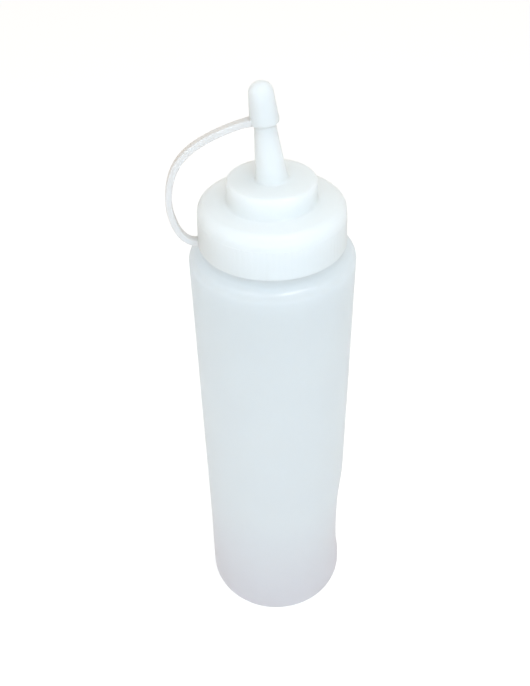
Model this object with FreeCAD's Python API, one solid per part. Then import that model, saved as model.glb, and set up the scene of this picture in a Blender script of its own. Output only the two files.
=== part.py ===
import FreeCAD, Part
import math
import os

# Squeeze bottle for sauces, millimetres, +Z up. Two mouldings:
#   bottle  blow-moulded soft polyethylene, one wall all round, open at the neck
#   lid     one injection moulding: skirt, stepped dome, nozzle, strap and the cap on the nozzle
# The origin is the centre of the foot ring's plane. The strap lies in the XZ plane, on the -X side.

V = FreeCAD.Vector

# Bottle
body_diameter = 55.0
corner_height = 166.8      # where the straight wall would meet the shoulder's cone
shoulder_round = 3.1
shoulder_slope = 20.0      # degrees above level
shoulder_step = 5.55       # from the body's wall in to the neck's
neck_wall = 1.4
neck_root_round = 1.0
neck_lip_round = 0.3
wall = 1.0
heel_round = 4.0
foot_flare = 0.35          # the thick foot stands out past the wall
foot_flare_height = 36.0
foot_width = 2.9           # the flat ring that the bottle stands on
push_up = 2.0              # how far the middle of the base is pushed up
push_up_run = 4.5          # the slope between the foot and the raised middle
foot_round = 0.8

# Lid: skirt, deck and dome
neck_clearance = 0.35      # between the neck and the skirt
rim_gap = 2.3              # from the neck's root up to the skirt's lower rim
skirt_wall = 1.35
skirt_height = 14.2        # from the lower rim to the deck's edge
skirt_flare = 0.49         # the rim's radius over the deck edge's radius
rim_round = 0.3
ledge_drop = 4.5           # from the deck's edge down to the ledge where the grip ends
ledge_step = 0.2           # how far the skirt is set in above the ledge
flute_count = 80           # upright flutes of the grip
flute_radius = 0.6
flute_depth = 0.22
deck_wall = 2.2
seal_land = 0.8            # how far the flat that seals on the neck reaches in past the neck's bore
deck_rise = 0.6            # from the deck's edge up to the dome's foot
deck_round = 3.2
dome_foot_diameter = 28.7
dome_draft = 0.25          # the foot's radius over the top's radius
dome_height = 6.9
dome_foot_round = 0.8
dome_round = 0.8
lid_wall = 1.3

# Nozzle, drawn upright on its own axis and then leaned towards the strap that pulls it
nozzle_base_diameter = 10.3
nozzle_tip_diameter = 4.25
nozzle_length = 28.2
nozzle_wall = 1.3
orifice_diameter = 2.4
nozzle_lean = 5.8          # degrees
nozzle_foot_round = 0.8

# Cap on the nozzle
cap_overlap = 9.9          # length of nozzle that the cap covers
cap_clearance = 0.15
cap_tip_gap = 1.0
cap_end_wall = 1.4
cap_rim_diameter = 8.3
cap_top_diameter = 7.25
cap_end_round = 3.5
cap_lip_diameter = 9.0
cap_lip_height = 1.8
cap_lip_round = 0.5

# Strap from the cap's lip to the skirt's rim
strap_width = 3.05
strap_thickness = 2.05
strap_edge_round = 0.4
strap_root = 0.6           # how deep its ends run into the lip and the skirt
strap_lead = 3.0           # the straight run out of the lip
strap_bow = 8.35           # how far it stands out past the skirt
strap_crown_run = 21.4     # from the lip out to the crown of the bend
strap_crown_drop = 6.3
strap_upper_bow = 0.48     # heights of the bow's two ends, as shares of the rise from rim to lip
strap_lower_bow = 0.23
strap_tail = 4.3           # the level stretch beside the skirt

# Sizes that follow
body_radius = body_diameter / 2
neck_radius = body_radius - shoulder_step
slope = math.radians(shoulder_slope)
neck_root = corner_height + shoulder_step * math.tan(slope)
rim_height = neck_root + rim_gap
deck_edge = rim_height + skirt_height
neck_top = deck_edge - deck_wall
skirt_bore = neck_radius + neck_clearance
deck_edge_radius = skirt_bore + skirt_wall
rim_radius = deck_edge_radius + skirt_flare
ledge = deck_edge - ledge_drop
ledge_radius = deck_edge_radius + skirt_flare * ledge_drop / skirt_height
dome_foot = deck_edge + deck_rise
dome_top = dome_foot + dome_height
dome_foot_radius = dome_foot_diameter / 2
dome_top_radius = dome_foot_radius - dome_draft
cap_rim = nozzle_length - cap_overlap
cap_top = nozzle_length + cap_tip_gap + cap_end_wall


def rounded_face(corners):
    """A flat face in the XZ plane from corners (radius from the axis, height, rounding)."""
    points = [V(r, 0, z) for r, z, _ in corners]
    count = len(points)
    bends = []
    for i, (_, _, rounding) in enumerate(corners):
        here = points[i]
        if rounding == 0:
            bends.append((here, None, here))
            continue
        back = (points[i - 1] - here).normalize()
        ahead = (points[(i + 1) % count] - here).normalize()
        half = back.getAngle(ahead) / 2
        cut = rounding / math.tan(half)
        inward = (back + ahead).normalize()
        middle = here + inward * (rounding / math.sin(half) - rounding)
        bends.append((here + back * cut, middle, here + ahead * cut))
    edges = []
    for i, (start, middle, end) in enumerate(bends):
        if middle:
            edges.append(Part.Arc(start, middle, end).toShape())
        following = bends[(i + 1) % count][0]
        if (following - end).Length > 1e-6:
            edges.append(Part.LineSegment(end, following).toShape())
    return Part.Face(Part.Wire(edges))


def turned(corners):
    """A solid of revolution about +Z."""
    return rounded_face(corners).revolve(V(0, 0, 0), V(0, 0, 1), 360)


def bottle_surface(inset):
    """The corners of the bottle's surface from the base's middle up to the neck, set in by the wall."""
    radius = body_radius - inset
    corner = corner_height + inset * (math.tan(slope) - 1 / math.cos(slope))
    neck = neck_radius - (neck_wall if inset else 0)
    foot = body_radius - heel_round - foot_width
    flared = radius + foot_flare
    return [
        (0, push_up + inset, 0),
        (foot - push_up_run, push_up + inset, foot_round + inset),
        (foot, inset, foot_round),
        (flared, inset, heel_round - inset),
        (flared, inset + 2 * heel_round, 0),
        (radius, foot_flare_height, 0),
        (radius, corner, shoulder_round - inset),
        (neck, corner + (radius - neck) * math.tan(slope), neck_root_round),
        (neck, neck_top, neck_lip_round),
    ]


def bottle():
    return turned(bottle_surface(0) + bottle_surface(wall)[::-1])


def lid_shell():
    """The skirt, deck and dome, with the flat land under the deck that seals on the neck."""
    land = neck_radius - neck_wall - seal_land
    return turned([
        (rim_radius, rim_height, rim_round),
        (ledge_radius, ledge, 0),
        (ledge_radius - ledge_step, ledge, 0),
        (deck_edge_radius - ledge_step, deck_edge, deck_round),
        (dome_foot_radius, dome_foot, dome_foot_round),
        (dome_top_radius, dome_top, dome_round),
        (0, dome_top, 0),
        (0, dome_top - lid_wall, 0),
        (dome_top_radius - lid_wall, dome_top - lid_wall, 0),
        (dome_foot_radius - lid_wall, dome_foot - lid_wall, 0),
        (land, neck_top, 0),
        (skirt_bore, neck_top, 0),
        (rim_radius - skirt_wall, rim_height, 0),
    ])


def flutes():
    """The round tools that cut the grip's flutes, each one lying along the skirt's slope."""
    run_out = 2 * flute_depth
    out = flute_radius - flute_depth
    low = V(rim_radius + out, 0, rim_height)
    high = V(ledge_radius + out, 0, ledge)
    along = (high - low).normalize()
    length = (high - low).Length + 2 * run_out
    tool = Part.makeCylinder(flute_radius, length, low - along * run_out, along)
    tools = []
    for i in range(flute_count):
        turned_tool = tool.copy()
        turned_tool.rotate(V(0, 0, 0), V(0, 0, 1), (i + 0.5) * 360 / flute_count)
        tools.append(turned_tool)
    return tools


def nozzle_radius(height):
    """Outer radius of the nozzle at a height along its own axis."""
    share = height / nozzle_length
    return (nozzle_base_diameter * (1 - share) + nozzle_tip_diameter * share) / 2


def leaned(shape):
    """Moves a shape from the nozzle's own axis to its place on the dome."""
    shape = shape.copy()
    shape.rotate(V(0, 0, 0), V(0, 1, 0), -nozzle_lean)
    shape.translate(V(0, 0, dome_top))
    return shape


def nozzle():
    sunk = -0.7 * lid_wall
    return leaned(turned([
        (0, sunk, 0),
        (nozzle_radius(sunk), sunk, 0),
        (nozzle_radius(nozzle_length), nozzle_length, 0),
        (0, nozzle_length, 0),
    ]))


def nozzle_bore():
    below = -2.5 * lid_wall
    above = 0.5 * cap_tip_gap
    return leaned(turned([
        (0, below, 0),
        (nozzle_radius(below) - nozzle_wall, below, 0),
        (orifice_diameter / 2, nozzle_length, 0),
        (orifice_diameter / 2, nozzle_length + above, 0),
        (0, nozzle_length + above, 0),
    ]))


def cap():
    lip_top = cap_rim + cap_lip_height
    end = nozzle_length + cap_tip_gap
    return leaned(turned([
        (nozzle_radius(cap_rim) + cap_clearance, cap_rim, 0),
        (cap_lip_diameter / 2, cap_rim, cap_lip_round),
        (cap_lip_diameter / 2, lip_top, cap_lip_round),
        (cap_rim_diameter / 2, lip_top, 0),
        (cap_top_diameter / 2, cap_top, cap_end_round),
        (0, cap_top, 0),
        (0, end, 0),
        (nozzle_radius(end) + cap_clearance, end, 0),
    ]))


def strap_route():
    """The strap's middle line, from the cap's lip down to the skirt's rim."""
    lean = math.radians(nozzle_lean)
    out = V(-math.cos(lean), 0, -math.sin(lean))
    up = V(-math.sin(lean), 0, math.cos(lean))
    lip = V(0, 0, dome_top) + up * (cap_rim + cap_lip_height / 2) + out * (cap_lip_diameter / 2)
    foot = V(-rim_radius, 0, rim_height + strap_thickness / 2)
    rise = lip.z - foot.z
    reach = rim_radius + strap_bow
    poles = [
        lip - out * strap_root,
        lip + out * strap_lead,
        V(lip.x - strap_crown_run, 0, lip.z - strap_crown_drop),
        V(-reach, 0, foot.z + strap_upper_bow * rise),
        V(-reach, 0, foot.z + strap_lower_bow * rise),
        foot - V(strap_tail, 0, 0),
        foot + V(strap_root, 0, 0),
    ]
    line = Part.BSplineCurve()
    line.buildFromPoles(poles, False, 3)
    return line


def strap():
    line = strap_route()
    start = line.value(line.FirstParameter)
    along = line.tangent(line.FirstParameter)[0]
    across = V(0, 1, 0)
    through = along.cross(across)
    half_width = across * (strap_width / 2)
    half_depth = through * (strap_thickness / 2)
    section = Part.makePolygon([
        start - half_width - half_depth,
        start + half_width - half_depth,
        start + half_width + half_depth,
        start - half_width + half_depth,
        start - half_width - half_depth,
    ])
    swept = Part.Wire([line.toShape()]).makePipeShell([section], True, False)
    long_edges = [e for e in swept.Edges if e.Length > strap_crown_run]
    return swept.makeFillet(strap_edge_round, long_edges)


def lid():
    body = lid_shell().cut(flutes()).fuse(nozzle())
    seam = [
        e for e in body.Edges
        if abs(e.BoundBox.ZMin - dome_top) < 0.01
        and abs(e.BoundBox.ZMax - dome_top) < 0.01
        and e.BoundBox.YLength < 1.2 * nozzle_base_diameter
    ]
    body = body.makeFillet(nozzle_foot_round, seam)
    body = body.cut(nozzle_bore())
    return body.fuse([cap(), strap()]).removeSplitter()


os.makedirs("parts", exist_ok=True)
for name, make in (("bottle", bottle), ("lid", lid)):
    shape = make()
    solids = shape.Solids
    print(name, "valid", shape.isValid(), "solids", len(solids), "volume", round(shape.Volume, 1))
    solids[0].exportStep("parts/" + name + ".step")
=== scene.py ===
import math

import bpy
from bpy.props import (
    FloatProperty,
    FloatVectorProperty,
    IntProperty,
    PointerProperty,
    StringProperty,
)
from mathutils import Matrix, Vector, noise


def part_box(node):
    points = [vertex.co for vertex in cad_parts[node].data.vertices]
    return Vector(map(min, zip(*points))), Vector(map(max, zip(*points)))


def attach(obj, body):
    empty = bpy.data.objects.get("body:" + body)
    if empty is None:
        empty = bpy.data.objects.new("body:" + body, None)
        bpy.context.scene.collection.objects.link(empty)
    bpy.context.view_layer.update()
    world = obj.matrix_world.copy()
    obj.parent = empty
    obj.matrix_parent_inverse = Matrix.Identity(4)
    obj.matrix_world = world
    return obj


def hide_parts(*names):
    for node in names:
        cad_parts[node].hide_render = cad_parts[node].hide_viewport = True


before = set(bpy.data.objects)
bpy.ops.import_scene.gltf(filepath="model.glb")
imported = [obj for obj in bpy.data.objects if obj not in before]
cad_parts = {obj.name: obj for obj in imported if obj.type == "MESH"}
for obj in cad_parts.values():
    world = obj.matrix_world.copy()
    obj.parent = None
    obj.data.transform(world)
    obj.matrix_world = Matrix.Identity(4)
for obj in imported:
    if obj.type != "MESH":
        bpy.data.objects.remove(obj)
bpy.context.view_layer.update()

bl_info = {
    "name": "Squeeze Bottle",
    "version": (1, 0, 0),
    "blender": (4, 5, 0),
    "location": "3D View > Sidebar > Bottle",
    "description": "A soft sauce bottle with a stepped spout lid and a strapped tip cap",
    "category": "Object",
}

# Everything is in metres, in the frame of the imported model: +Z up, the origin in the middle of the
# foot ring's plane, and the strap in the XZ plane on the -X side.
MM = 0.001
BOTTLE_HIGH = Vector(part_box("bottle")[1])
LID_LOW, LID_HIGH = (Vector(corner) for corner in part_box("lid"))
BODY = "root"

# How finely the meshes are divided.
BODY_SEGMENTS = 192
CAP_SEGMENTS = 96
SEGMENTS_PER_FLUTE = 6
STRAP_STEPS = 24
BESIDE_ARC = 0.25 * MM
SHORTEST_RUN = 0.01 * MM
ON_AXIS = 1e-7

# Sockets of a Mix node: its share, then its two ends and its result, for numbers and for colours.
SHARE = 0
NUMBER_FROM, NUMBER_TO, NUMBER_OUT = 2, 3, 0
COLOUR_FROM, COLOUR_TO, COLOUR_OUT = 6, 7, 2


def size(name, value, description):
    """A length that a user can change."""
    return FloatProperty(
        name=name, default=value, description=description, unit="LENGTH", precision=5
    )


def angle(name, degrees, description):
    """An angle, given in degrees and kept in radians."""
    return FloatProperty(
        name=name, default=math.radians(degrees), description=description, subtype="ANGLE"
    )


def share(name, value, description):
    """A share between 0 and 1."""
    return FloatProperty(
        name=name, default=value, min=0.0, max=1.0, description=description, subtype="FACTOR"
    )


def level(name, value, description):
    """A brightness, where 1 shows a white surface as white."""
    return FloatProperty(name=name, default=value, min=0.0, description=description)


def stage_spot(name, value, description):
    """A point of the stage."""
    return FloatVectorProperty(
        name=name, default=value, description=description, subtype="TRANSLATION", unit="LENGTH"
    )


def hex_colour(name, value, description):
    """A colour written as a hex value."""
    description += ", as an sRGB hex value"
    return StringProperty(name=name, default=value, description=description)


class BottleSizes(bpy.types.PropertyGroup):
    """The blow-moulded bottle."""

    foot_radius: size("Foot radius", BOTTLE_HIGH.x, "Radius of the thick foot")
    foot_flare: size("Foot flare", 0.35 * MM, "How far the foot stands out past the wall")
    flare_height: size("Flare height", 36 * MM, "Height at which the foot's flare has died away")
    corner_height: size("Corner height", 166.8 * MM, "Where the wall would meet the shoulder")
    shoulder_round: size("Shoulder rounding", 3.1 * MM, "Radius of the shoulder's corner")
    shoulder_slope: angle("Shoulder slope", 20, "Slope of the shoulder above level")
    shoulder_step: size("Shoulder step", 5.55 * MM, "From the body's wall in to the neck's")
    root_round: size("Neck root rounding", 2.5 * MM, "Rounding between the shoulder and the neck")
    neck_top: size("Neck top", BOTTLE_HIGH.z, "Height of the neck's sealing face")
    neck_wall: size("Neck wall", 1.4 * MM, "Thickness of the neck")
    neck_round: size("Neck rounding", 0.3 * MM, "Rounding of the neck's sealing face")
    wall: size("Wall", 1.0 * MM, "Thickness of the body")
    heel_round: size("Heel rounding", 4.0 * MM, "Radius between the wall and the foot")
    foot_width: size("Foot width", 2.9 * MM, "Width of the flat ring that the bottle stands on")
    push_up: size("Push-up", 2.0 * MM, "How far the middle of the base is raised")
    push_up_run: size("Push-up run", 4.5 * MM, "Width of the slope round the raised middle")
    foot_round: size("Foot rounding", 0.8 * MM, "Rounding on the inner side of the foot ring")
    heel_draft: size("Heel draft", 0.02 * MM, "How far the wall leans in just above the heel")
    dent_depth: size("Dent depth", 1.28 * MM, "How far the soft wall is pressed in low down")
    dent_height: size("Dent height", 34 * MM, "Height of the dent's middle")
    dent_spread: size("Dent spread", 25 * MM, "How far up and down the dent reaches")
    dent_width: angle("Dent width", 34, "How far round to each side the dent reaches")
    dent_bearing: angle("Dent bearing", -14, "Direction of the dent, from +X towards +Y")
    waviness: size("Waviness", 0.06 * MM, "How uneven the blown wall is")
    wave_across: size("Wave across", 26 * MM, "Spacing of the waves round the wall")
    wave_up: size("Wave up", 40 * MM, "Spacing of the waves up the wall")
    stiff_foot: size("Stiff foot", 4 * MM, "Height up to which the foot keeps its true shape")
    soft_foot: size("Soft foot", 14 * MM, "Height from which the wall is fully uneven")
    soft_top: size("Soft top", 150 * MM, "Height up to which the wall is fully uneven")
    stiff_top: size("Stiff top", 164 * MM, "Height from which the shoulder keeps its true shape")
    colour: hex_colour("Colour", "#F5F7F7", "Colour of the natural polyethylene body")
    # The thick colour and height tint the lower body darker and warmer: painted shade low on the
    # body, partly the thicker wall's own tint.
    foot_tint_and_shade_colour: hex_colour("Thick colour", "#F0EFF1", "Colour of the thicker wall near the foot")
    foot_tint_and_shade_height: size("Thick height", 60 * MM, "How far up the thicker wall reaches")


class LidSizes(bpy.types.PropertyGroup):
    """The lid's skirt, deck, dome and nozzle."""

    rim_radius: size("Rim radius", LID_HIGH.x, "Radius of the skirt's lower rim")
    rim_height: size("Rim height", LID_LOW.z, "Height of the skirt's lower rim")
    rim_round: size("Rim rounding", 0.3 * MM, "Rounding of the rim's outer edge")
    rim_inner_round: size("Inner rim rounding", 0.2 * MM, "Rounding of the rim's inner edge")
    skirt_height: size("Skirt height", 14.2 * MM, "From the lower rim to the deck's edge")
    skirt_flare: size("Skirt flare", 0.49 * MM, "The rim's radius over the deck edge's radius")
    skirt_wall: size("Skirt wall", 1.35 * MM, "Thickness of the skirt")
    ledge_drop: size("Ledge drop", 4.5 * MM, "From the deck's edge down to the top of the grip")
    ledge_step: size("Ledge step", 0.08 * MM, "How far the skirt is set in above the grip")
    ledge_round: size("Ledge rounding", 0.04 * MM, "Rounding of the ledge's outer corner")
    ledge_root: size("Ledge root", 0.03 * MM, "Rounding of the ledge's inner corner")
    flute_count: IntProperty(
        name="Flutes", default=80, min=8, description="Upright flutes of the grip"
    )
    flute_radius: size("Flute radius", 0.6 * MM, "Radius of one flute")
    flute_depth: size("Flute depth", 0.055 * MM, "Depth of one flute")
    deck_rise: size("Deck rise", 0.6 * MM, "From the deck's edge up to the dome's foot")
    deck_round: size("Deck rounding", 3.2 * MM, "Rounding of the deck's edge")
    dome_foot_radius: size("Dome foot radius", 14.35 * MM, "Radius of the dome at its foot")
    dome_draft: size("Dome draft", 0.25 * MM, "The foot's radius over the top's radius")
    dome_height: size("Dome height", 6.9 * MM, "Height of the dome over the deck")
    dome_root: size("Dome root", 0.8 * MM, "Rounding between the deck and the dome")
    dome_round: size("Dome rounding", 0.8 * MM, "Rounding of the dome's top edge")
    dome_inner_round: size("Inner dome rounding", 0.6 * MM, "Rounding under the dome's top")
    dome_inner_root: size("Inner dome root", 1.0 * MM, "Rounding under the dome's foot")
    land_run: size("Land run", 4 * MM, "From the dome's foot out to the sealing land")
    land_round: size("Land rounding", 0.5 * MM, "Rounding of the land's inner edge")
    land_root: size("Land root", 0.2 * MM, "Rounding between the land and the skirt")
    wall: size("Wall", 1.3 * MM, "Thickness of the lid")
    nozzle_radius: size("Nozzle radius", 5.05 * MM, "Radius of the nozzle at the dome")
    nozzle_tip: size("Nozzle tip", 2.125 * MM, "Radius of the nozzle at its tip")
    nozzle_length: size("Nozzle length", 28.2 * MM, "Length of the nozzle along its axis")
    nozzle_foot: size("Nozzle foot", 0.8 * MM, "Rounding between the nozzle and the dome")
    nozzle_lean: angle("Nozzle lean", 5.8, "How far the strap pulls the nozzle over")
    tip_round: size("Tip rounding", 0.3 * MM, "Rounding of the nozzle's tip")
    orifice: size("Orifice", 1.2 * MM, "Radius of the hole in the nozzle's tip")
    orifice_round: size("Orifice rounding", 0.1 * MM, "Rounding of the hole's edge")
    throat_round: size("Throat rounding", 0.5 * MM, "Rounding where the bore opens into the dome")
    colour: hex_colour("Colour", "#F8F9F8", "Colour of the lid's polyethylene")


class CapSizes(bpy.types.PropertyGroup):
    """The cap on the nozzle and the strap that holds it."""

    overlap: size("Overlap", 9.9 * MM, "Length of nozzle that the cap covers")
    clearance: size("Clearance", 0.15 * MM, "Between the nozzle and the cap")
    tip_gap: size("Tip gap", 1.0 * MM, "Free space over the nozzle's tip")
    end_wall: size("End wall", 1.4 * MM, "Thickness of the cap's end")
    rim_radius: size("Rim radius", 4.28 * MM, "Radius of the cap just over its lip")
    top_radius: size("Top radius", 3.45 * MM, "Radius of the cap at its end")
    end_round: size("End rounding", 3.35 * MM, "Rounding of the cap's end")
    lip_radius: size("Lip radius", 4.42 * MM, "Radius of the lip round the cap's rim")
    lip_height: size("Lip height", 1.8 * MM, "Height of the lip")
    lip_slope: size("Lip slope", 1.0 * MM, "Height over which the cap widens into its lip")
    lip_blend: size("Lip blend", 2.0 * MM, "Rounding above and below that slope")
    lip_round: size("Lip rounding", 0.5 * MM, "Rounding of the lip's lower edge")
    mouth_round: size("Mouth rounding", 0.12 * MM, "Rounding of the edge of the cap's bore")
    bore_round: size("Bore rounding", 0.4 * MM, "Rounding at the end of the cap's bore")
    strap_width: size("Strap width", 3.05 * MM, "Width of the strap")
    strap_thickness: size("Strap thickness", 2.05 * MM, "Thickness of the strap")
    strap_edge: size("Strap edge", 0.4 * MM, "Rounding of the strap's long edges")
    strap_root: size("Strap root", 0.6 * MM, "How deep its ends run into the lip and the skirt")
    strap_start: size("Strap start", 3 * MM, "How far the strap runs straight out of the lip")
    strap_crown_run: size("Strap crown run", 21.1 * MM, "From the lip out to the bend's crown")
    strap_crown_drop: size("Strap crown drop", 6.3 * MM, "From the lip down to that crown")
    strap_bow: size("Strap bow", 8.2 * MM, "How far the strap stands out past the skirt")
    strap_bow_top: share("Strap bow top", 0.48, "Where the bow starts, up from the skirt's rim")
    strap_bow_foot: share("Strap bow foot", 0.23, "Where the bow ends, up from the skirt's rim")
    strap_tail: size("Strap tail", 4.3 * MM, "The level stretch beside the skirt")
    strap_flare: share("Strap flare", 0.22, "How much the strap widens where it joins")
    strap_flare_run: size("Strap flare run", 3.2 * MM, "How far from its ends it widens")
    # The strap's colour is drawn greyer than the lid's: painted shade.
    strap_painted_shade_colour: hex_colour("Strap colour", "#EBE9E8", "Colour of the thin strap")


class StageSettings(bpy.types.PropertyGroup):
    """The camera, the lamps and the floor."""

    camera_distance: size("Camera distance", 221.2 * MM, "From the bottle's axis, along the floor")
    camera_height: size("Camera height", 308.4 * MM, "Height of the lens over the floor")
    camera_bearing: angle("Camera bearing", -6.2, "Swing of the camera round the bottle")
    camera_tilt: angle("Camera tilt", 39.29, "How far the camera looks down")
    camera_pan: angle("Camera pan", -0.8, "How far the camera looks past the axis")
    camera_roll: angle("Camera roll", -1.2, "How far the camera is rolled about its line of sight")
    lens: FloatProperty(
        name="Lens", default=41.73, unit="CAMERA", description="Focal length in millimetres"
    )
    aim: share("Aim", 0.55, "Height that the lamps aim at, as a share of the whole")
    front_distance: size("Front distance", 0.85, "From the bottle to the front light")
    front_size: size("Front size", 0.7, "Width and height of the front light")
    front_bearing: angle("Front bearing", 3, "Direction of the front light, from -Y towards +X")
    front_rise: angle("Front rise", 33, "Height of the front light as an angle above level")
    front_level: level("Front", 0.87, "Share of the light from the front")
    front_colour: hex_colour("Front colour", "#C2E4FF", "Colour of the light from the front")
    side_spot: stage_spot("Side spot", (-0.95, -0.5, 0.2), "Middle of the light on the left")
    side_level: level("Side", 0.06, "Share of the light from the left")
    side_colour: hex_colour("Side colour", "#FFF3E2", "Colour of the light from the left")
    top_right_spot: stage_spot("Right lamp", (0.19, -0.06, 1.15), "Middle of the right top lamp")
    top_left_spot: stage_spot("Left lamp", (-0.27, 0.0, 1.15), "Middle of the left top lamp")
    top_level: level("Top", 0.20, "Share of the light from the top lamps")
    world_level: level("World", 1.0, "Brightness of the light from all round")
    ceiling_level: level("Ceiling", 0.46, "Brightness of the light from overhead")
    world_colour: hex_colour("World colour", "#FFF5E7", "Colour of the light from all round")
    floor_reach: size("Floor reach", 3.0, "From the bottle to the floor's edges")
    floor_colour: hex_colour("Floor colour", "#F0E6E0", "Colour that the floor sends back")
    floor_seen: hex_colour("Floor seen", "#959595", "Colour of the floor where it is seen")
    floor_glow: level("Floor glow", 0.78, "Light added to the floor where it is seen")


# ---------------------------------------------------------------- shapes


def outline(corners, run_step, closed=False, arc_steps=8):
    """Points (radius, height) along a line of corners (radius, height, rounding), with arcs.

    Straight runs are divided at run_step, with a close point beside each arc that keeps the flats
    flat.
    """
    points = [Vector(corner[:2]) for corner in corners]
    count = len(points)
    bends = []
    for i, (_, _, rounding) in enumerate(corners):
        here = points[i]
        if rounding == 0:
            bends.append([here])
            continue
        back = (points[i - 1] - here).normalized()
        ahead = (points[(i + 1) % count] - here).normalized()
        half = back.angle(ahead) / 2
        centre = here + (back + ahead).normalized() * (rounding / math.sin(half))
        start = here + back * (rounding / math.tan(half)) - centre
        sweep = math.copysign(math.pi - 2 * half, back.y * ahead.x - back.x * ahead.y)
        turns = [Matrix.Rotation(sweep * k / arc_steps, 2) for k in range(arc_steps + 1)]
        bends.append([centre + turn @ start for turn in turns])
    line = []
    for i, bend in enumerate(bends):
        line += bend
        if i + 1 == count and not closed:
            break
        start, end = bend[-1], bends[(i + 1) % count][0]
        run = (end - start).length
        if run < SHORTEST_RUN:
            line.pop()
            continue
        beside = min(BESIDE_ARC, run / 4)
        steps = max(1, round((run - 2 * beside) / run_step))
        distances = [beside + (run - 2 * beside) * k / steps for k in range(steps + 1)]
        line += [start.lerp(end, distance / run) for distance in distances]
    return line


def lathe(name, line, segments, place, closed=False):
    """A piece turned from an outline; place moves each (radius, bearing, height) to its spot."""
    verts, rings = [], []
    for radius, height in line:
        if radius < ON_AXIS:
            rings.append([len(verts)] * segments)
            verts.append(place(0.0, 0.0, height))
            continue
        rings.append(range(len(verts), len(verts) + segments))
        verts += [place(radius, math.tau * k / segments, height) for k in range(segments)]
    faces = []
    pairs = list(zip(rings, rings[1:]))
    if closed:
        pairs.append((rings[-1], rings[0]))
    for low, high in pairs:
        for k in range(segments):
            after = (k + 1) % segments
            corners = (low[k], low[after], high[after], high[k])
            faces.append(tuple(dict.fromkeys(corners)))
    return finished_mesh(name, verts, faces)


def finished_mesh(name, verts, faces):
    """A smooth-shaded object of the given faces."""
    mesh = bpy.data.meshes.new(name)
    mesh.from_pydata(verts, [], faces)
    mesh.polygons.foreach_set("use_smooth", [True] * len(mesh.polygons))
    mesh.update()
    piece = bpy.data.objects.new(name, mesh)
    bpy.context.scene.collection.objects.link(piece)
    return piece


def around(radius, bearing, height):
    """The point at this radius, bearing and height about the bottle's axis."""
    return Vector((radius * math.cos(bearing), radius * math.sin(bearing), height))


def bell(value, middle, spread, power=2):
    """1 in the middle, falling to nothing past the spread; a higher power has a flatter top."""
    return math.exp(-(abs((value - middle) / spread) ** power))


def smooth_step(value, low, high):
    """0 up to low, 1 from high, and a smooth change between them."""
    t = min(max((value - low) / (high - low), 0.0), 1.0)
    return t * t * (3 - 2 * t)


def bottle_surface(b, inset):
    """The corners of the bottle's surface from the base's middle to the neck, set in by inset."""
    body_radius = b.foot_radius - b.foot_flare
    radius = body_radius - inset
    rise = math.tan(b.shoulder_slope)
    corner = b.corner_height + inset * (rise - 1 / math.cos(b.shoulder_slope))
    neck = body_radius - b.shoulder_step - (b.neck_wall if inset else 0)
    foot = body_radius - b.heel_round - b.foot_width
    flared = radius + b.foot_flare
    return [
        (0, b.push_up + inset, 0),
        (foot - b.push_up_run, b.push_up + inset, b.foot_round + inset),
        (foot, inset, b.foot_round),
        (flared, inset, b.heel_round - inset),
        (flared - b.heel_draft, inset + 2 * b.heel_round, 2 * b.heel_round),
        (radius, b.flare_height, b.flare_height / 2),
        (radius, corner, b.shoulder_round - inset),
        (neck, corner + (radius - neck) * rise, b.root_round),
        (neck, b.neck_top, b.neck_round),
    ]


def bottle_place(b):
    """Puts the bottle's points in place, with the blown wall's slight waves and the soft dent."""

    def place(radius, bearing, height):
        turn = math.remainder(bearing - b.dent_bearing, math.tau)
        dent = b.dent_depth * bell(turn, 0, b.dent_width)
        dent *= bell(height, b.dent_height, b.dent_spread, power=4)
        wave_spot = around(radius / b.wave_across, bearing, height / b.wave_up)
        wave = b.waviness * (noise.noise(wave_spot) - 0.5)
        soft = smooth_step(height, b.stiff_foot, b.soft_foot)
        soft *= 1 - smooth_step(height, b.soft_top, b.stiff_top)
        return around(radius + soft * (wave - dent), bearing, height)

    return place


def ledge_and_deck(lid):
    """Where the skirt's ledge and the deck's edge lie, each as (radius, height)."""
    deck_edge = lid.rim_height + lid.skirt_height
    deck_radius = lid.rim_radius - lid.skirt_flare
    ledge_radius = deck_radius + lid.skirt_flare * lid.ledge_drop / lid.skirt_height
    return (ledge_radius, deck_edge - lid.ledge_drop), (deck_radius, deck_edge)


def dome_top(lid):
    """Height of the dome's flat top, where the nozzle stands."""
    return lid.rim_height + lid.skirt_height + lid.deck_rise + lid.dome_height


def nozzle_radius(lid, height):
    """Outer radius of the nozzle at a height along its own axis."""
    return lid.nozzle_radius + (lid.nozzle_tip - lid.nozzle_radius) * height / lid.nozzle_length


def leaned(lid, point, amount=1.0):
    """Leans a point about the nozzle's foot, towards the strap."""
    foot = Vector((0, 0, dome_top(lid)))
    return Matrix.Rotation(-lid.nozzle_lean * amount, 3, "Y") @ (point - foot) + foot


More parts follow.
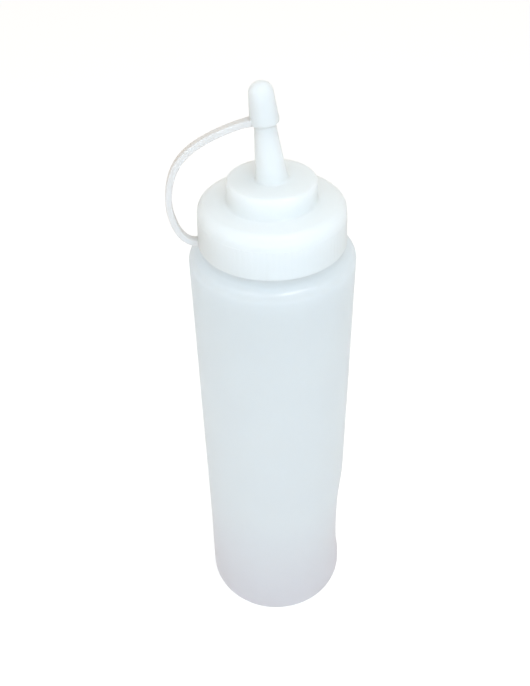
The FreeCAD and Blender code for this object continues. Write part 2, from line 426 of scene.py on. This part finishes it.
def lid_corners(lid):
    """The lid's outline: up the skirt, over the deck and dome, up the nozzle and back inside."""
    (ledge_radius, ledge), (deck_radius, deck_edge) = ledge_and_deck(lid)
    dome_foot = deck_edge + lid.deck_rise
    top = dome_top(lid)
    under_top = top - lid.wall
    dome_radius = lid.dome_foot_radius - lid.dome_draft
    tip = top + lid.nozzle_length
    land = BOTTLE_HIGH.z
    return [
        (lid.rim_radius, lid.rim_height, lid.rim_round),
        (ledge_radius, ledge, lid.ledge_round),
        (ledge_radius - lid.ledge_step, ledge, lid.ledge_root),
        (deck_radius - lid.ledge_step, deck_edge, lid.deck_round),
        (lid.dome_foot_radius, dome_foot, lid.dome_root),
        (dome_radius, top, lid.dome_round),
        (lid.nozzle_radius, top, lid.nozzle_foot),
        (lid.nozzle_tip, tip, lid.tip_round),
        (lid.orifice, tip, lid.orifice_round),
        (lid.nozzle_radius - lid.wall, under_top, lid.throat_round),
        (dome_radius - lid.wall, under_top, lid.dome_inner_round),
        (lid.dome_foot_radius - lid.wall, dome_foot - lid.wall, lid.dome_inner_root),
        (lid.dome_foot_radius + lid.land_run, land, lid.land_round),
        (deck_radius - lid.skirt_wall, land, lid.land_root),
        (lid.rim_radius - lid.skirt_wall, lid.rim_height, lid.rim_inner_round),
    ]


def lid_place(lid):
    """Puts the lid's points in place: cuts the grip's flutes and leans the nozzle."""
    (ledge_radius, ledge), _ = ledge_and_deck(lid)
    top = dome_top(lid)
    pitch = math.tau / lid.flute_count
    out = lid.flute_radius - lid.flute_depth
    # The grip is all that lies below the ledge's face and outside its root.
    grip_top = ledge + 0.05 * MM
    grip_inner = ledge_radius - 0.6 * lid.ledge_step
    near_nozzle = lid.nozzle_radius + 0.2 * MM
    past_nozzle = lid.nozzle_radius + 2 * lid.nozzle_foot

    def flute(radius, bearing):
        across = radius * math.remainder(bearing - pitch / 2, pitch)
        return max(math.sqrt(max(lid.flute_radius**2 - across**2, 0)) - out, 0)

    def place(radius, bearing, height):
        if height < grip_top and radius > grip_inner:
            radius -= flute(radius, bearing)
        upper = smooth_step(height, top - lid.wall, top + 2 * lid.nozzle_foot)
        near = 1 - smooth_step(radius, near_nozzle, past_nozzle)
        return leaned(lid, around(radius, bearing, height), upper * near)

    return place


def cap_corners(lid, cap):
    """The cap's outline about the nozzle's own axis, outside and inside, from end to end."""
    base = dome_top(lid)
    rim = lid.nozzle_length - cap.overlap
    end = lid.nozzle_length + cap.tip_gap
    top = end + cap.end_wall
    lip_top = rim + cap.lip_height
    return [
        (0, base + top, 0),
        (cap.top_radius, base + top, cap.end_round),
        (cap.rim_radius, base + lip_top + cap.lip_slope / 2, cap.lip_blend),
        (cap.lip_radius, base + lip_top - cap.lip_slope / 2, cap.lip_blend),
        (cap.lip_radius, base + rim, cap.lip_round),
        (nozzle_radius(lid, rim) + cap.clearance, base + rim, cap.mouth_round),
        (nozzle_radius(lid, end) + cap.clearance, base + end, cap.bore_round),
        (0, base + end, 0),
    ]


def strap_poles(lid, cap):
    """Control points of the strap's middle line, from the cap's lip down to the skirt's rim."""
    out = Vector((-math.cos(lid.nozzle_lean), 0, -math.sin(lid.nozzle_lean)))
    up = Vector((-math.sin(lid.nozzle_lean), 0, math.cos(lid.nozzle_lean)))
    rim = lid.nozzle_length - cap.overlap
    base = Vector((0, 0, dome_top(lid)))
    lip = base + up * (rim + cap.lip_height / 2) + out * cap.lip_radius
    foot = Vector((-lid.rim_radius, 0, lid.rim_height + cap.strap_thickness / 2))
    rise = lip.z - foot.z
    reach = lid.rim_radius + cap.strap_bow
    return [
        lip - out * cap.strap_root,
        lip + out * cap.strap_start,
        Vector((lip.x - cap.strap_crown_run, 0, lip.z - cap.strap_crown_drop)),
        Vector((-reach, 0, foot.z + cap.strap_bow_top * rise)),
        Vector((-reach, 0, foot.z + cap.strap_bow_foot * rise)),
        foot - Vector((cap.strap_tail, 0, 0)),
        foot + Vector((cap.strap_root, 0, 0)),
    ]


def curve_points(poles, resolution):
    """Points along the clamped cubic curve with these control points."""
    curve = bpy.data.curves.new("route", "CURVE")
    curve.dimensions = "3D"
    curve.resolution_u = resolution
    spline = curve.splines.new("NURBS")
    spline.points.add(len(poles) - 1)
    for point, pole in zip(spline.points, poles):
        point.co = (*pole, 1)
    spline.order_u = 4
    spline.use_endpoint_u = True
    carrier = bpy.data.objects.new("route", curve)
    mesh = bpy.data.meshes.new_from_object(carrier)
    points = [vert.co.copy() for vert in mesh.vertices]
    bpy.data.objects.remove(carrier)
    bpy.data.curves.remove(curve)
    bpy.data.meshes.remove(mesh)
    return points


def strap_section(cap):
    """The strap's cross-section (across, through) with rounded edges."""
    half_width, half_depth = cap.strap_width / 2, cap.strap_thickness / 2
    corners = [
        (half_width, -half_depth, cap.strap_edge),
        (half_width, half_depth, cap.strap_edge),
        (-half_width, half_depth, cap.strap_edge),
        (-half_width, -half_depth, cap.strap_edge),
    ]
    return outline(corners, 0.5 * MM, closed=True, arc_steps=6)


def strap_mesh(lid, cap):
    """The strap swept along its route, a little wider where it joins the lip and the skirt."""
    route = curve_points(strap_poles(lid, cap), STRAP_STEPS)
    lengths = [0.0]
    for start, end in zip(route, route[1:]):
        lengths.append(lengths[-1] + (end - start).length)
    section = strap_section(cap)
    across = Vector((0, 1, 0))
    verts = []
    for i, here in enumerate(route):
        along = (route[min(i + 1, len(route) - 1)] - route[max(i - 1, 0)]).normalized()
        through = along.cross(across)
        from_end = min(lengths[i], lengths[-1] - lengths[i])
        joining = 1 - smooth_step(from_end, cap.strap_root, cap.strap_flare_run)
        grow = 1 + cap.strap_flare * joining**2
        verts += [here + across * u * grow + through * v for u, v in section]
    count = len(section)
    faces = [tuple(range(count))[::-1], tuple(range(len(verts) - count, len(verts)))]
    for i in range(len(route) - 1):
        for k in range(count):
            after = (k + 1) % count
            low, high = i * count, (i + 1) * count
            faces.append((low + k, low + after, high + after, high + k))
    return finished_mesh("strap", verts, faces)


# ---------------------------------------------------------------- materials


def linear(hex_value):
    """Linear RGBA from an sRGB hex colour."""
    channels = [int(hex_value[i : i + 2], 16) / 255 for i in (1, 3, 5)]
    return (*[c / 12.92 if c <= 0.04045 else ((c + 0.055) / 1.055) ** 2.4 for c in channels], 1.0)


def add_node(tree, kind, settings=None, links=None):
    """Adds a node, sets its settings and inputs, and links its inputs to other nodes' outputs."""
    node = tree.nodes.new(kind)
    for key, value in (settings or {}).items():
        if isinstance(key, str) and hasattr(node, key):
            setattr(node, key, value)
        else:
            node.inputs[key].default_value = value
    for key, source in (links or {}).items():
        tree.links.new(source, node.inputs[key])
    return node


def new_material(name):
    material = bpy.data.materials.new(name)
    material.use_nodes = True
    material.node_tree.nodes.clear()
    return material, material.node_tree


def plastic(
    name,
    colour,
    shade,
    roughness,
    gloss,
    scatter,
    radii,
    passes,
    waves,
    grain,
    sheen=0.0,
    foot_tint_and_shade=None,
):
    """A soft translucent polyethylene.

    colour drifts to shade in slow patches. roughness and gloss, its IOR, shape its highlights, and
    sheen lifts and warms its edges. scatter and radii say how much light spreads inside and how
    far, and passes is the share of the light that comes out on the far side. waves and grain are
    (spacing, depth) in metres of the two reliefs that break up its gloss. The last argument is the
    (colour, height) of a darker, warmer tint towards the foot: painted shade low on the body, partly
    the thicker wall's own tint.
    """
    material, tree = new_material(name)
    place = add_node(tree, "ShaderNodeTexCoord").outputs["Object"]
    patches = add_node(
        tree, "ShaderNodeTexNoise", {"Scale": 1 / (22 * MM), "Detail": 2.0}, {"Vector": place}
    )
    tint = add_node(
        tree,
        "ShaderNodeMix",
        {"data_type": "RGBA", COLOUR_FROM: linear(colour), COLOUR_TO: linear(shade)},
        {SHARE: patches.outputs["Fac"]},
    )
    # Painted shade: the colour turns darker and warmer towards the foot, partly the thicker wall's
    # own tint.
    if foot_tint_and_shade:
        foot_colour, foot_height = foot_tint_and_shade
        height = add_node(tree, "ShaderNodeSeparateXYZ", links={0: place}).outputs["Z"]
        low_down = add_node(
            tree,
            "ShaderNodeMapRange",
            {"From Max": foot_height, "To Min": 1.0, "To Max": 0.0},
            {"Value": height},
        )
        tint = add_node(
            tree,
            "ShaderNodeMix",
            {"data_type": "RGBA", COLOUR_TO: linear(foot_colour)},
            {SHARE: low_down.outputs[0], COLOUR_FROM: tint.outputs[COLOUR_OUT]},
        )
    relief = None
    for spacing, depth in (waves, grain):
        pattern = add_node(
            tree, "ShaderNodeTexNoise", {"Scale": 1 / spacing, "Detail": 2.0}, {"Vector": place}
        )
        links = {"Height": pattern.outputs["Fac"]}
        if relief:
            links["Normal"] = relief.outputs["Normal"]
        relief = add_node(tree, "ShaderNodeBump", {"Strength": 1.0, "Distance": depth}, links)
    surface = add_node(
        tree,
        "ShaderNodeBsdfPrincipled",
        {
            "Roughness": roughness,
            "IOR": gloss,
            "Specular IOR Level": 1.0,
            "Subsurface Weight": scatter,
            "Subsurface Scale": 1.0,
            "Subsurface Radius": radii,
            "Sheen Weight": sheen,
            "Sheen Roughness": 0.4,
            "Sheen Tint": linear("#FFE8D4"),
        },
        {"Base Color": tint.outputs[COLOUR_OUT], "Normal": relief.outputs["Normal"]},
    )
    through = add_node(
        tree, "ShaderNodeBsdfTranslucent", links={"Color": tint.outputs[COLOUR_OUT]}
    )
    both = add_node(
        tree,
        "ShaderNodeMixShader",
        {0: passes},
        {1: surface.outputs["BSDF"], 2: through.outputs["BSDF"]},
    )
    add_node(tree, "ShaderNodeOutputMaterial", links={"Surface": both.outputs[0]})
    return material


def bottle_material(colour, foot_tint_and_shade):
    # Natural low-density polyethylene, blow moulded: a milky, cool grey-white wall that light soaks
    # through, with highlights broken by the slow waves of the blown surface and edges that turn
    # paler and warmer. Its IOR is over polyethylene's 1.5, because the light that passes through
    # takes its share of the gloss. The skin's grain is too fine to show, so it is drawn 1.2 mm
    # apart.
    # Its foot is tinted darker and warmer: painted shade low on the body, partly the thicker wall's
    # own tint.
    return plastic(
        "LDPE natural blow moulded",
        colour,
        shade="#F2F4F5",
        roughness=0.13,
        gloss=1.9,
        scatter=0.9,
        radii=(10 * MM, 10.5 * MM, 11 * MM),
        passes=0.72,
        waves=(14 * MM, 0.05 * MM),
        grain=(1.2 * MM, 0.004 * MM),
        sheen=0.45,
        foot_tint_and_shade=foot_tint_and_shade,
    )


def lid_material(colour):
    # Low-density polyethylene, injection moulded: whiter and more opaque than the bottle, with a
    # satin skin from the mould and soft edges where light spreads in its thin walls. The skin's
    # grain is too fine to show, so it is drawn 0.8 mm apart. The lid and the tip cap share it.
    name = "LDPE white injection moulded"
    return bpy.data.materials.get(name) or plastic(
        name,
        colour,
        shade="#F6F8F7",
        roughness=0.38,
        gloss=1.5,
        scatter=0.8,
        radii=(3 * MM, 3 * MM, 3 * MM),
        passes=0.45,
        waves=(9 * MM, 0.02 * MM),
        grain=(0.8 * MM, 0.003 * MM),
    )


def strap_material(colour):
    # The lid's polyethylene in a thin strip, its colour drawn greyer than the lid's: painted shade,
    # for how little of the light the strip catches.
    return plastic(
        "LDPE white thin strap",
        colour,
        shade="#E6E3DF",
        roughness=0.34,
        gloss=1.5,
        scatter=0.6,
        radii=(1 * MM, 1 * MM, 1 * MM),
        passes=0.3,
        waves=(9 * MM, 0.02 * MM),
        grain=(0.8 * MM, 0.001 * MM),
    )


def floor_material(colour, seen_colour, glow):
    # Seamless studio board, matt: shows as plain white where it is seen, keeps the shadow there,
    # and sends back the light of a pale warm board.
    material, tree = new_material("Studio board matt")
    rays = add_node(tree, "ShaderNodeLightPath").outputs
    seen = add_node(
        tree,
        "ShaderNodeMath",
        {"operation": "MAXIMUM"},
        {0: rays["Is Camera Ray"], 1: rays["Is Glossy Ray"]},
    )
    seen = add_node(
        tree,
        "ShaderNodeMath",
        {"operation": "MAXIMUM"},
        {0: seen.outputs[0], 1: rays["Is Transmission Ray"]},
    )
    shown = add_node(
        tree,
        "ShaderNodeMix",
        {"data_type": "RGBA", COLOUR_FROM: linear(colour), COLOUR_TO: linear(seen_colour)},
        {SHARE: seen.outputs[0]},
    )
    lift = add_node(
        tree, "ShaderNodeMath", {"operation": "MULTIPLY", 1: glow}, {0: seen.outputs[0]}
    )
    matt = add_node(tree, "ShaderNodeBsdfDiffuse", links={"Color": shown.outputs[COLOUR_OUT]})
    light = add_node(tree, "ShaderNodeEmission", links={"Strength": lift.outputs[0]})
    both = add_node(tree, "ShaderNodeAddShader", links={0: matt.outputs[0], 1: light.outputs[0]})
    add_node(tree, "ShaderNodeOutputMaterial", links={"Surface": both.outputs[0]})
    return material


def studio_world(all_round, overhead, colour):
    """Even light from all round, less of it from overhead, that shows as plain white where seen."""
    world = bpy.data.worlds.new("Studio")
    world.use_nodes = True
    tree = world.node_tree
    tree.nodes.clear()
    way = add_node(tree, "ShaderNodeTexCoord").outputs["Generated"]
    rise = add_node(tree, "ShaderNodeSeparateXYZ", links={0: way}).outputs["Z"]
    given = add_node(
        tree, "ShaderNodeMapRange", {"To Min": all_round, "To Max": overhead}, {"Value": rise}
    )
    rays = add_node(tree, "ShaderNodeLightPath").outputs
    seen = add_node(
        tree,
        "ShaderNodeMath",
        {"operation": "MAXIMUM"},
        {0: rays["Is Camera Ray"], 1: rays["Is Transmission Ray"]},
    )
    strength = add_node(
        tree,
        "ShaderNodeMix",
        {NUMBER_TO: 1.0},
        {SHARE: seen.outputs[0], NUMBER_FROM: given.outputs[0]},
    )
    shown = add_node(
        tree,
        "ShaderNodeMix",
        {"data_type": "RGBA", COLOUR_FROM: linear(colour), COLOUR_TO: linear("#FFFFFF")},
        {SHARE: seen.outputs[0]},
    )
    background = add_node(
        tree,
        "ShaderNodeBackground",
        links={"Color": shown.outputs[COLOUR_OUT], "Strength": strength.outputs[NUMBER_OUT]},
    )
    add_node(tree, "ShaderNodeOutputWorld", links={"Surface": background.outputs[0]})
    return world


# ---------------------------------------------------------------- operators


def settings():
    return bpy.context.scene.squeeze_bottle


def dress(piece, node, material):
    """Gives a piece its material, hangs it on the body and hides the CAD node that it stands for."""
    piece.data.materials.append(material)
    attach(piece, BODY)
    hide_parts(node)


class BottleSettings(bpy.types.PropertyGroup):
    """All the sizes and colours of the bottle and its stage."""

    bottle: PointerProperty(type=BottleSizes)
    lid: PointerProperty(type=LidSizes)
    cap: PointerProperty(type=CapSizes)
    stage: PointerProperty(type=StageSettings)


class OBJECT_OT_bottle_body(bpy.types.Operator):
    """Make the blow-moulded bottle, with its wall, neck and raised base"""

    bl_idname = "object.bottle_body"
    bl_label = "Bottle"

    def execute(self, context):
        b = settings().bottle
        outer = outline(bottle_surface(b, 0), run_step=2.5 * MM)
        inner = outline(bottle_surface(b, b.wall), run_step=4 * MM)
        body = lathe("bottle_body", outer + inner[::-1], BODY_SEGMENTS, bottle_place(b))
        # The lower body's darker, warmer tint is painted shade, partly the thicker wall's own tint.
        plastic_wall = bottle_material(b.colour, (b.foot_tint_and_shade_colour, b.foot_tint_and_shade_height))
        dress(body, "bottle", plastic_wall)
        return {"FINISHED"}


class OBJECT_OT_bottle_lid(bpy.types.Operator):
    """Make the lid: fluted skirt, deck, dome and the leaning hollow nozzle"""

    bl_idname = "object.bottle_lid"
    bl_label = "Lid"

    def execute(self, context):
        lid = settings().lid
        line = outline(lid_corners(lid), run_step=1.6 * MM, closed=True, arc_steps=5)
        segments = SEGMENTS_PER_FLUTE * lid.flute_count
        shell = lathe("lid_shell", line, segments, lid_place(lid), closed=True)
        dress(shell, "lid", lid_material(lid.colour))
        return {"FINISHED"}


class OBJECT_OT_bottle_cap(bpy.types.Operator):
    """Make the cap that seals the nozzle's tip"""

    bl_idname = "object.bottle_cap"
    bl_label = "Tip cap"

    def execute(self, context):
        lid, cap = settings().lid, settings().cap
        line = outline(cap_corners(lid, cap), run_step=1.2 * MM)

        def place(radius, bearing, height):
            return leaned(lid, around(radius, bearing, height))

        tip_cap = lathe("tip_cap", line, CAP_SEGMENTS, place)
        dress(tip_cap, "lid", lid_material(lid.colour))
        return {"FINISHED"}


class OBJECT_OT_bottle_strap(bpy.types.Operator):
    """Make the strap from the cap's lip to the skirt's rim"""

    bl_idname = "object.bottle_strap"
    bl_label = "Strap"

    def execute(self, context):
        lid, cap = settings().lid, settings().cap
        dress(strap_mesh(lid, cap), "lid", strap_material(cap.strap_painted_shade_colour))
        return {"FINISHED"}


class SCENE_OT_bottle_stage(bpy.types.Operator):
    """Make the floor, the studio light and the camera"""

    bl_idname = "scene.bottle_stage"
    bl_label = "Stage"

    def execute(self, context):
        stage = settings().stage
        scene = context.scene
        scene.view_settings.view_transform = "Standard"
        scene.world = studio_world(stage.world_level, stage.ceiling_level, stage.world_colour)
        self.add_floor(stage)
        self.add_lamps(stage)
        self.add_camera(scene, stage)
        return {"FINISHED"}

    def add_floor(self, stage):
        reach = stage.floor_reach
        verts = [(-reach, -reach, 0), (reach, -reach, 0), (reach, reach, 0), (-reach, reach, 0)]
        floor = finished_mesh("floor", verts, [(0, 1, 2, 3)])
        board = floor_material(stage.floor_colour, stage.floor_seen, stage.floor_glow)
        floor.data.materials.append(board)

    def add_lamps(self, stage):
        middle = Vector((0, 0, stage.aim * LID_HIGH.z))
        lid_top = Vector((0, 0, BOTTLE_HIGH.z))
        swing = Matrix.Rotation(stage.front_bearing, 3, "Z")
        swing @= Matrix.Rotation(-stage.front_rise, 3, "X")
        front_spot = middle + swing @ Vector((0, -stage.front_distance, 0))
        wide = stage.front_size
        front = self.add_lamp("front_softbox", front_spot, middle, wide, wide, stage.front_level)
        side = self.add_lamp("left_strip", stage.side_spot, middle, 0.3, 0.9, stage.side_level)
        for lamp, colour in ((front, stage.front_colour), (side, stage.side_colour)):
            lamp.data.color = linear(colour)[:3]
            # These two only light the plastic. Its highlights come from the ceiling lamps alone.
            lamp.visible_glossy = False
        self.add_lamp(
            "ceiling_lamp_right", stage.top_right_spot, lid_top, 0.62, 0.17, stage.top_level
        )
        self.add_lamp(
            "ceiling_lamp_left", stage.top_left_spot, lid_top, 0.56, 0.09, stage.top_level / 3
        )

    def add_lamp(self, name, spot, target, width, height, strength):
        """A soft box that lights a surface facing it, at the target, to this strength.

        The width of a lamp overhead runs from front to back.
        """
        lamp = bpy.data.lights.new(name, "AREA")
        lamp.shape = "RECTANGLE"
        lamp.size = width
        lamp.size_y = height
        aim = target - spot
        lamp.energy = strength * (math.pi * aim.length) ** 2
        piece = bpy.data.objects.new(name, lamp)
        turn = aim.to_track_quat("-Z", "Y").to_matrix().to_4x4()
        piece.matrix_world = Matrix.Translation(spot) @ turn
        bpy.context.scene.collection.objects.link(piece)
        return piece

    def add_camera(self, scene, stage):
        camera = bpy.data.cameras.new("camera")
        camera.lens = stage.lens
        piece = bpy.data.objects.new("camera", camera)
        swing = Matrix.Rotation(stage.camera_bearing, 4, "Z")
        stand = Matrix.Translation((0, -stage.camera_distance, stage.camera_height))
        pan = Matrix.Rotation(-stage.camera_pan, 4, "Z")
        tilt = Matrix.Rotation(math.pi / 2 - stage.camera_tilt, 4, "X")
        roll = Matrix.Rotation(stage.camera_roll, 4, "Z")
        piece.matrix_world = swing @ stand @ pan @ tilt @ roll
        scene.collection.objects.link(piece)
        scene.camera = piece


PIECES = (
    OBJECT_OT_bottle_body,
    OBJECT_OT_bottle_lid,
    OBJECT_OT_bottle_cap,
    OBJECT_OT_bottle_strap,
    SCENE_OT_bottle_stage,
)


class VIEW3D_PT_squeeze_bottle(bpy.types.Panel):
    """Buttons and sizes of the squeeze bottle"""

    bl_idname = "VIEW3D_PT_squeeze_bottle"
    bl_label = "Squeeze Bottle"
    bl_space_type = "VIEW_3D"
    bl_region_type = "UI"
    bl_category = "Bottle"

    def draw(self, context):
        for piece in PIECES:
            self.layout.operator(piece.bl_idname)
        for name in ("bottle", "lid", "cap", "stage"):
            group = getattr(settings(), name)
            box = self.layout.box()
            box.label(text=name.capitalize())
            for key in group.bl_rna.properties.keys():
                if key not in ("rna_type", "name"):
                    box.prop(group, key)


CLASSES = (
    BottleSizes,
    LidSizes,
    CapSizes,
    StageSettings,
    BottleSettings,
    *PIECES,
    VIEW3D_PT_squeeze_bottle,
)


def register():
    for cls in CLASSES:
        bpy.utils.register_class(cls)
    bpy.types.Scene.squeeze_bottle = PointerProperty(type=BottleSettings)


def unregister():
    del bpy.types.Scene.squeeze_bottle
    for cls in reversed(CLASSES):
        bpy.utils.unregister_class(cls)


def main():
    register()
    bpy.ops.object.bottle_body()
    bpy.ops.object.bottle_lid()
    bpy.ops.object.bottle_cap()
    bpy.ops.object.bottle_strap()
    bpy.ops.scene.bottle_stage()


if __name__ == "__main__":
    main()
